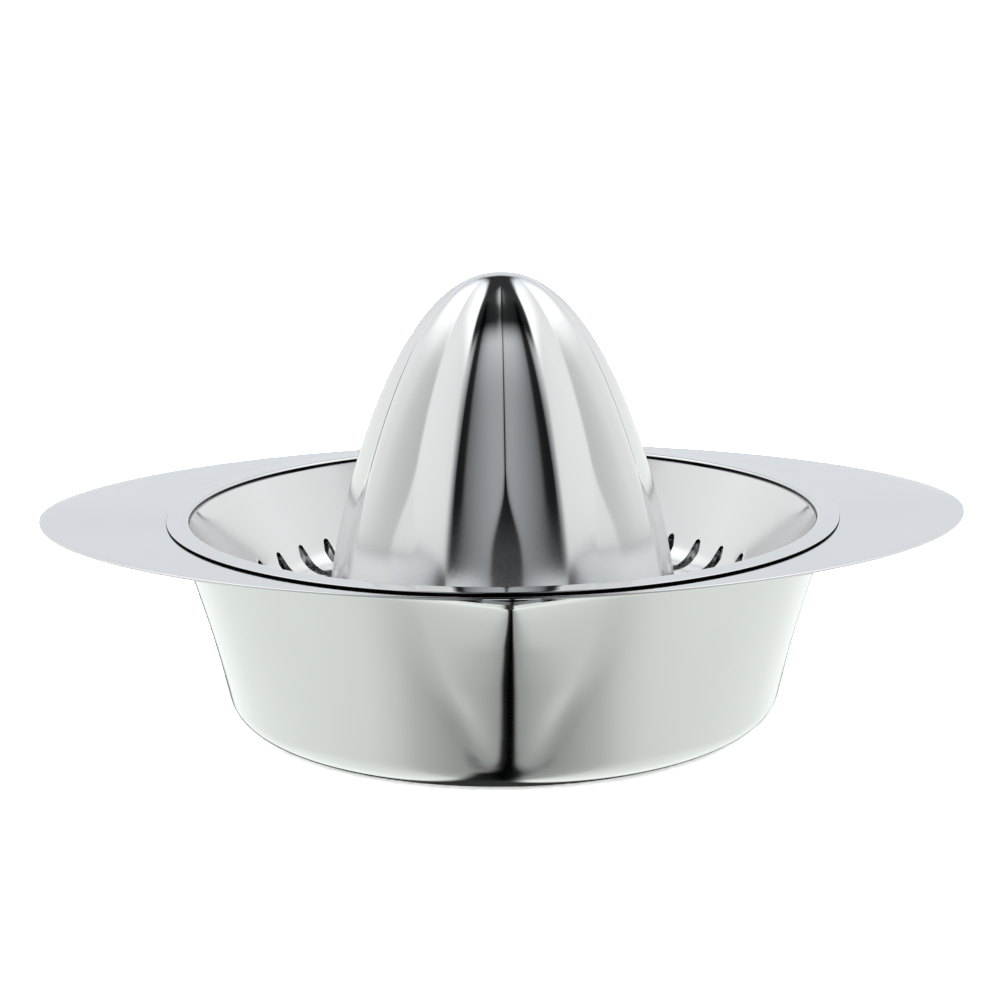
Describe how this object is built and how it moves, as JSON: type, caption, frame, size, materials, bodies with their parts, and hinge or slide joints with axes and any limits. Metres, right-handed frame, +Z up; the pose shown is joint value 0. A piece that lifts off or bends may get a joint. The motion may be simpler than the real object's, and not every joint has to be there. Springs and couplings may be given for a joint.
{
  "type": "citrus press",
  "caption": "Manual citrus press: a polished steel bowl with a creased pouring spout, and a lift-out oval tray with a strainer funnel and a fluted reamer cone.",
  "frame": {"origin": "centre of the bowl's flat base, on its underside", "axes": "+Z up, +X along the tray's handles, -Y towards the pouring spout"},
  "size_m": [0.192, 0.1436, 0.0912],
  "materials": {
    "polished_steel_bowl": "mirror-polished stainless steel, lightly smudged",
    "polished_steel_tray": "mirror-polished stainless steel, lightly smudged",
    "polished_steel_cone": "mirror-polished stainless steel"
  },
  "bodies": {
    "bowl": {"juice_bowl": "polished_steel_bowl"},
    "press": {"strainer_tray": "polished_steel_tray", "reamer_cone": "polished_steel_cone"}
  },
  "joints": [
    {"name": "press_lift", "type": "slide", "parent": "bowl", "child": "press", "axis": [0, 0, 1], "range_m": [0, 0.06]}
  ]
}
